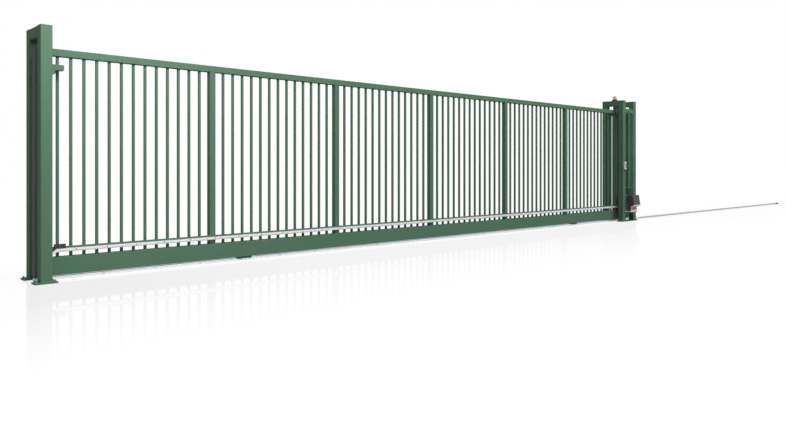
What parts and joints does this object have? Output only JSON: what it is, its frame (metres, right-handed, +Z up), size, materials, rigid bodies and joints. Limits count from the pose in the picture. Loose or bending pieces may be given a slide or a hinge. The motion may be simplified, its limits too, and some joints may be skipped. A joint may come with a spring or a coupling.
{
  "type": "sliding driveway gate",
  "caption": "Motor-driven steel sliding gate: a barred leaf on wheels and a ground rail, with a catch portal, a guide tower and a toothed rack over the drive motor.",
  "frame": {"origin": "middle of the underside of the base plate below the front post of the catch portal", "axes": "+X along the gate from the catch portal to the guide tower, the way the leaf opens; +Y from the motor side through the leaf to the far side; +Z up"},
  "size_m": [22.905, 0.716, 2.845],
  "materials": {
    "green_paint": "matt moss-green powder coat",
    "galvanised": "hot-dip galvanised",
    "rubber": "matt",
    "dark_steel": "satin dark-grey paint",
    "steel": "machined",
    "nylon": "matt dark-grey nylon",
    "hood_plastic": "satin dark grey",
    "red_plastic": "satin red",
    "light_plastic": "satin light grey",
    "aluminium": "cast",
    "amber": "clear amber lens"
  },
  "bodies": {
    "gate_frame": {"catch_front_post": "green_paint", "catch_rear_post": "green_paint", "catch_crosspiece": "green_paint", "catch_base_plates": "green_paint", "catch_guide_arms": "green_paint", "guide_near_front_post": "green_paint", "guide_near_rear_post": "green_paint", "guide_near_crosspiece": "green_paint", "guide_far_front_post": "green_paint", "guide_far_rear_post": "green_paint", "guide_far_crosspiece": "green_paint", "guide_base_plates": "green_paint", "guide_ties": "green_paint", "front_safety_screen": "green_paint", "rear_safety_screen": "green_paint", "guide_safety_strips": "rubber", "roller_brackets": "galvanised", "ground_rail": "galvanised", "rail_end_stop": "dark_steel", "motor_console": "green_paint", "motor_foot": "aluminium", "motor_gearbox": "dark_steel", "motor_hood": "hood_plastic", "motor_front_panel": "light_plastic", "release_flap": "red_plastic", "push_button_box": "light_plastic", "stop_button": "red_plastic", "beacon_base": "hood_plastic", "beacon_lens": "amber"},
    "leaf": {"bottom_beam": "green_paint", "top_rail": "green_paint", "leading_post": "green_paint", "middle_posts": "green_paint", "tail_post": "green_paint", "bay_1_bars": "green_paint", "bay_2_bars": "green_paint", "bay_3_bars": "green_paint", "bay_4_bars": "green_paint", "bay_5_bars": "green_paint", "bay_6_bars": "green_paint", "tail_bars": "green_paint", "rack_support": "green_paint", "rack": "galvanised", "rack_end_ramps": "galvanised", "limit_plates": "dark_steel", "leading_safety_edge": "rubber", "wheel_carriages": "green_paint", "wheel_axles": "steel"},
    "front_wheel_body": {"front_wheel": "steel"},
    "rear_wheel_body": {"rear_wheel": "steel"},
    "pinion_body": {"drive_pinion": "steel", "pinion_shaft": "steel"},
    "roller_near_front": {"guide_near_front_roller": "nylon"},
    "roller_near_rear": {"guide_near_rear_roller": "nylon"},
    "roller_far_front": {"guide_far_front_roller": "nylon"},
    "roller_far_rear": {"guide_far_rear_roller": "nylon"}
  },
  "joints": [
    {"name": "leaf_slide", "type": "slide", "parent": "gate_frame", "child": "leaf", "axis": [1, 0, 0], "range_m": [0, 12.1]},
    {"name": "front_wheel_spin", "type": "hinge", "parent": "leaf", "child": "front_wheel_body", "pos_m": [2.507, 0.198, 0.1053], "axis": [0, 1, 0], "continuous": true},
    {"name": "rear_wheel_spin", "type": "hinge", "parent": "leaf", "child": "rear_wheel_body", "pos_m": [10.427, 0.198, 0.1053], "axis": [0, 1, 0], "continuous": true},
    {"name": "pinion_spin", "type": "hinge", "parent": "gate_frame", "child": "pinion_body", "pos_m": [12.3575, 0.125, 0.258], "axis": [0, 1, 0], "continuous": true},
    {"name": "near_front_roller_spin", "type": "hinge", "parent": "gate_frame", "child": "roller_near_front", "pos_m": [12.12, 0.1247, 2.485], "axis": [0, 0, 1], "continuous": true},
    {"name": "near_rear_roller_spin", "type": "hinge", "parent": "gate_frame", "child": "roller_near_rear", "pos_m": [12.12, 0.2713, 2.485], "axis": [0, 0, 1], "continuous": true},
    {"name": "far_front_roller_spin", "type": "hinge", "parent": "gate_frame", "child": "roller_far_front", "pos_m": [12.595, 0.1247, 2.485], "axis": [0, 0, 1], "continuous": true},
    {"name": "far_rear_roller_spin", "type": "hinge", "parent": "gate_frame", "child": "roller_far_rear", "pos_m": [12.595, 0.2713, 2.485], "axis": [0, 0, 1], "continuous": true}
  ],
  "couplings": [
    {"joint": "front_wheel_spin", "follows": "leaf_slide", "rad_per_m": 15.314},
    {"joint": "rear_wheel_spin", "follows": "leaf_slide", "rad_per_m": 15.314},
    {"joint": "pinion_spin", "follows": "leaf_slide", "rad_per_m": 18.519},
    {"joint": "near_front_roller_spin", "follows": "leaf_slide", "rad_per_m": -30.03},
    {"joint": "near_rear_roller_spin", "follows": "leaf_slide", "rad_per_m": 30.03},
    {"joint": "far_front_roller_spin", "follows": "leaf_slide", "rad_per_m": -30.03},
    {"joint": "far_rear_roller_spin", "follows": "leaf_slide", "rad_per_m": 30.03}
  ]
}
